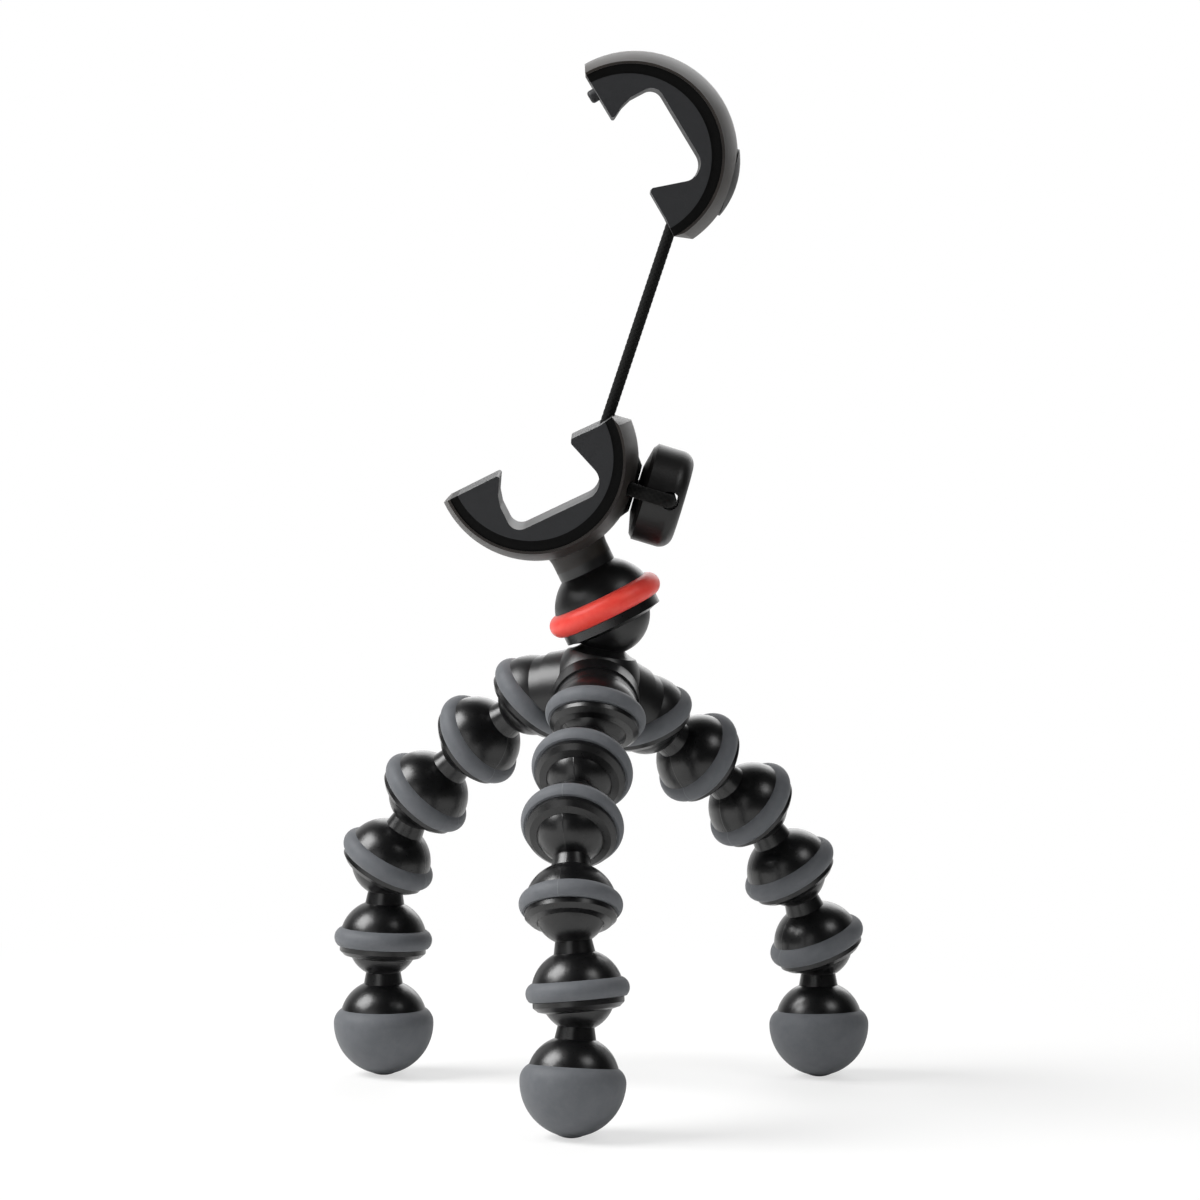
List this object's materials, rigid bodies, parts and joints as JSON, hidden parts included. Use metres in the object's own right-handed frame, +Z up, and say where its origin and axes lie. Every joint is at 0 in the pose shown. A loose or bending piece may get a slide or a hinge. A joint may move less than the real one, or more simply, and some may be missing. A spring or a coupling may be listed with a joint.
{
  "type": "flexible leg tripod",
  "caption": "Small tripod with bendable legs of snap-together ball links, rubber feet, a tilting ball head and a clamp of facing jaws drawn together by a cord.",
  "frame": {"origin": "on the floor, under the centre of the hub", "axes": "+Z up; +X towards the toggle side of the clamp; -Y towards the front leg"},
  "size_m": [0.0866, 0.0789, 0.1644],
  "materials": {
    "link_plastic": "satin, smooth moulded",
    "collar_plastic": "satin, smooth moulded",
    "grip_rubber": "matt, slightly mottled",
    "red_rubber": "satin",
    "liner_rubber": "matt, fine grain",
    "shell_plastic": "soft-touch, matt",
    "cap_plastic": "matt",
    "cord": "braided",
    "toggle_plastic": "matt, fine grain"
  },
  "bodies": {
    "hub": {"hub_body": "link_plastic", "hub_sockets": "link_plastic", "hub_rings": "grip_rubber"},
    "left_collar_1": {"left_collar_1": "collar_plastic"},
    "left_collar_2": {"left_collar_2": "collar_plastic"},
    "left_link_2": {"left_cup_2": "link_plastic", "left_ring_2": "grip_rubber"},
    "left_collar_3": {"left_collar_3": "collar_plastic"},
    "left_link_3": {"left_cup_3": "link_plastic", "left_ring_3": "grip_rubber"},
    "left_collar_4": {"left_collar_4": "collar_plastic"},
    "left_link_4": {"left_cup_4": "link_plastic", "left_ring_4": "grip_rubber"},
    "left_collar_5": {"left_collar_5": "collar_plastic"},
    "left_link_5": {"left_cup_5": "link_plastic", "left_ring_5": "grip_rubber"},
    "left_foot": {"left_foot_stem": "link_plastic", "left_foot_boot": "grip_rubber"},
    "front_collar_1": {"front_collar_1": "collar_plastic"},
    "front_collar_2": {"front_collar_2": "collar_plastic"},
    "front_link_2": {"front_cup_2": "link_plastic", "front_ring_2": "grip_rubber"},
    "front_collar_3": {"front_collar_3": "collar_plastic"},
    "front_link_3": {"front_cup_3": "link_plastic", "front_ring_3": "grip_rubber"},
    "front_collar_4": {"front_collar_4": "collar_plastic"},
    "front_link_4": {"front_cup_4": "link_plastic", "front_ring_4": "grip_rubber"},
    "front_collar_5": {"front_collar_5": "collar_plastic"},
    "front_link_5": {"front_cup_5": "link_plastic", "front_ring_5": "grip_rubber"},
    "front_foot": {"front_foot_stem": "link_plastic", "front_foot_boot": "grip_rubber"},
    "right_collar_1": {"right_collar_1": "collar_plastic"},
    "right_collar_2": {"right_collar_2": "collar_plastic"},
    "right_link_2": {"right_cup_2": "link_plastic", "right_ring_2": "grip_rubber"},
    "right_collar_3": {"right_collar_3": "collar_plastic"},
    "right_link_3": {"right_cup_3": "link_plastic", "right_ring_3": "grip_rubber"},
    "right_collar_4": {"right_collar_4": "collar_plastic"},
    "right_link_4": {"right_cup_4": "link_plastic", "right_ring_4": "grip_rubber"},
    "right_collar_5": {"right_collar_5": "collar_plastic"},
    "right_link_5": {"right_cup_5": "link_plastic", "right_ring_5": "grip_rubber"},
    "right_foot": {"right_foot_stem": "link_plastic", "right_foot_boot": "grip_rubber"},
    "head_collar": {"head_collar": "collar_plastic"},
    "clamp": {"head_socket": "link_plastic", "head_ring": "red_rubber", "lower_jaw_shell": "shell_plastic", "lower_jaw_liner": "liner_rubber", "cord_strands": "cord", "cord_loop": "cord"},
    "upper_jaw": {"upper_jaw_shell": "shell_plastic", "upper_jaw_liner": "liner_rubber", "upper_jaw_cap": "cap_plastic"},
    "toggle": {"toggle_flange": "toggle_plastic", "toggle_body": "toggle_plastic"}
  },
  "joints": [
    {"name": "left_swivel_1", "type": "hinge", "parent": "hub", "child": "left_collar_1", "pos_m": [-0.00931, 0.00466, 0.06216], "axis": [-0.6418, 0.2664, -0.7191], "continuous": true},
    {"name": "left_bend_1", "type": "hinge", "parent": "left_collar_1", "child": "left_link_2", "pos_m": [-0.00931, 0.00466, 0.06216], "axis": [-0.6845, -0.6219, 0.3805], "range_deg": [-18, 46]},
    {"name": "left_swivel_2", "type": "hinge", "parent": "left_link_2", "child": "left_collar_2", "pos_m": [-0.01848, 0.01032, 0.05493], "axis": [-0.7064, 0.4367, -0.5571], "continuous": true},
    {"name": "left_bend_2", "type": "hinge", "parent": "left_collar_2", "child": "left_link_3", "pos_m": [-0.01848, 0.01032, 0.05493], "axis": [-0.6662, -0.6762, 0.3147], "range_deg": [-44, 20]},
    {"name": "left_swivel_3", "type": "hinge", "parent": "left_link_3", "child": "left_collar_3", "pos_m": [-0.0268, 0.01426, 0.04579], "axis": [-0.6412, 0.3037, -0.7047], "continuous": true},
    {"name": "left_bend_3", "type": "hinge", "parent": "left_collar_3", "child": "left_link_4", "pos_m": [-0.0268, 0.01426, 0.04579], "axis": [-0.4536, -0.8907, 0.0288], "range_deg": [-47, 17]},
    {"name": "left_swivel_4", "type": "hinge", "parent": "left_link_4", "child": "left_collar_4", "pos_m": [-0.03276, 0.01694, 0.03457], "axis": [-0.4592, 0.2059, -0.8642], "continuous": true},
    {"name": "left_bend_4", "type": "hinge", "parent": "left_collar_4", "child": "left_link_5", "pos_m": [-0.03276, 0.01694, 0.03457], "axis": [-0.4536, -0.8907, 0.0288], "range_deg": [-61, 3]},
    {"name": "left_swivel_5", "type": "hinge", "parent": "left_link_5", "child": "left_collar_5", "pos_m": [-0.03316, 0.01672, 0.0216], "axis": [-0.0313, -0.0164, -0.9994], "continuous": true},
    {"name": "left_bend_5", "type": "hinge", "parent": "left_collar_5", "child": "left_foot", "pos_m": [-0.03316, 0.01672, 0.0216], "axis": [0.2924, -0.9563, 0.0065], "range_deg": [-35, 29]},
    {"name": "front_swivel_1", "type": "hinge", "parent": "hub", "child": "front_collar_1", "pos_m": [0.0005, -0.01039, 0.06043], "axis": [-0.0966, -0.5703, -0.8157], "continuous": true},
    {"name": "front_bend_1", "type": "hinge", "parent": "front_collar_1", "child": "front_link_2", "pos_m": [0.0005, -0.01039, 0.06043], "axis": [0.9805, -0.1953, 0.0204], "range_deg": [-11, 53]},
    {"name": "front_swivel_2", "type": "hinge", "parent": "front_link_2", "child": "front_collar_2", "pos_m": [-0.00147, -0.02101, 0.05323], "axis": [-0.1514, -0.8184, -0.5544], "continuous": true},
    {"name": "front_bend_2", "type": "hinge", "parent": "front_collar_2", "child": "front_link_3", "pos_m": [-0.00147, -0.02101, 0.05323], "axis": [0.3012, -0.5724, 0.7627], "range_deg": [-35, 29]},
    {"name": "front_swivel_3", "type": "hinge", "parent": "front_link_3", "child": "front_collar_3", "pos_m": [-0.00279, -0.03158, 0.04582], "axis": [-0.1019, -0.8146, -0.5711], "continuous": true},
    {"name": "front_bend_3", "type": "hinge", "parent": "front_collar_3", "child": "front_link_4", "pos_m": [-0.00279, -0.03158, 0.04582], "axis": [0.9752, -0.1951, 0.1042], "range_deg": [-60, 4]},
    {"name": "front_swivel_4", "type": "hinge", "parent": "front_link_4", "child": "front_collar_4", "pos_m": [-0.00276, -0.03759, 0.03432], "axis": [0.0021, -0.4627, -0.8865], "continuous": true},
    {"name": "front_bend_4", "type": "hinge", "parent": "front_collar_4", "child": "front_link_5", "pos_m": [-0.00276, -0.03759, 0.03432], "axis": [0.9669, -0.2251, 0.1199], "range_deg": [-54, 10]},
    {"name": "front_swivel_5", "type": "hinge", "parent": "front_link_5", "child": "front_collar_5", "pos_m": [-0.0015, -0.03899, 0.02148], "axis": [0.0975, -0.1078, -0.9894], "continuous": true},
    {"name": "front_bend_5", "type": "hinge", "parent": "front_collar_5", "child": "front_foot", "pos_m": [-0.0015, -0.03899, 0.02148], "axis": [0.0573, -0.9919, 0.1138], "range_deg": [-24, 40]},
    {"name": "right_swivel_1", "type": "hinge", "parent": "hub", "child": "right_collar_1", "pos_m": [0.00847, 0.00575, 0.05929], "axis": [0.3469, 0.3275, -0.8789], "continuous": true},
    {"name": "right_bend_1", "type": "hinge", "parent": "right_collar_1", "child": "right_link_2", "pos_m": [0.00847, 0.00575, 0.05929], "axis": [-0.5164, 0.8489, 0.1125], "range_deg": [-2, 62]},
    {"name": "right_swivel_2", "type": "hinge", "parent": "right_link_2", "child": "right_collar_2", "pos_m": [0.01745, 0.01213, 0.05242], "axis": [0.6919, 0.491, -0.5293], "continuous": true},
    {"name": "right_bend_2", "type": "hinge", "parent": "right_collar_2", "child": "right_link_3", "pos_m": [0.01745, 0.01213, 0.05242], "axis": [-0.6963, 0.6477, -0.3093], "range_deg": [-39, 25]},
    {"name": "right_swivel_3", "type": "hinge", "parent": "right_link_3", "child": "right_collar_3", "pos_m": [0.02606, 0.01753, 0.04435], "axis": [0.6635, 0.4164, -0.6217], "continuous": true},
    {"name": "right_bend_3", "type": "hinge", "parent": "right_collar_3", "child": "right_link_4", "pos_m": [0.02606, 0.01753, 0.04435], "axis": [-0.6381, 0.7487, -0.1796], "range_deg": [-51, 13]},
    {"name": "right_swivel_4", "type": "hinge", "parent": "right_link_4", "child": "right_collar_4", "pos_m": [0.03255, 0.02046, 0.0335], "axis": [0.5001, 0.2257, -0.836], "continuous": true},
    {"name": "right_bend_4", "type": "hinge", "parent": "right_collar_4", "child": "right_link_5", "pos_m": [0.03255, 0.02046, 0.0335], "axis": [-0.3994, 0.9167, 0.0086], "range_deg": [-42, 22]},
    {"name": "right_swivel_5", "type": "hinge", "parent": "right_link_5", "child": "right_collar_5", "pos_m": [0.03721, 0.0226, 0.02158], "axis": [0.3591, 0.165, -0.9186], "continuous": true},
    {"name": "right_bend_5", "type": "hinge", "parent": "right_collar_5", "child": "right_foot", "pos_m": [0.03721, 0.0226, 0.02158], "axis": [-0.5265, 0.8485, -0.0534], "range_deg": [-55, 9]},
    {"name": "head_bend", "type": "hinge", "parent": "hub", "child": "head_collar", "pos_m": [0.00243, -0.00015, 0.07628], "axis": [0, 1, 0.0098], "range_deg": [-1, 73]},
    {"name": "head_swivel", "type": "hinge", "parent": "head_collar", "child": "clamp", "pos_m": [0.00243, -0.00015, 0.07628], "axis": [-0.4507, -0.0087, 0.8926], "continuous": true},
    {"name": "jaw_slide", "type": "slide", "parent": "clamp", "child": "upper_jaw", "axis": [0.2733, -0.0094, 0.9619], "range_m": [-0.027, 0.024], "deforming": ["cord_strands"]},
    {"name": "toggle_pull", "type": "slide", "parent": "clamp", "child": "toggle", "axis": [0.9619, 0.0027, -0.2733], "range_m": [0, 0.02], "deforming": ["cord_loop"]}
  ]
}
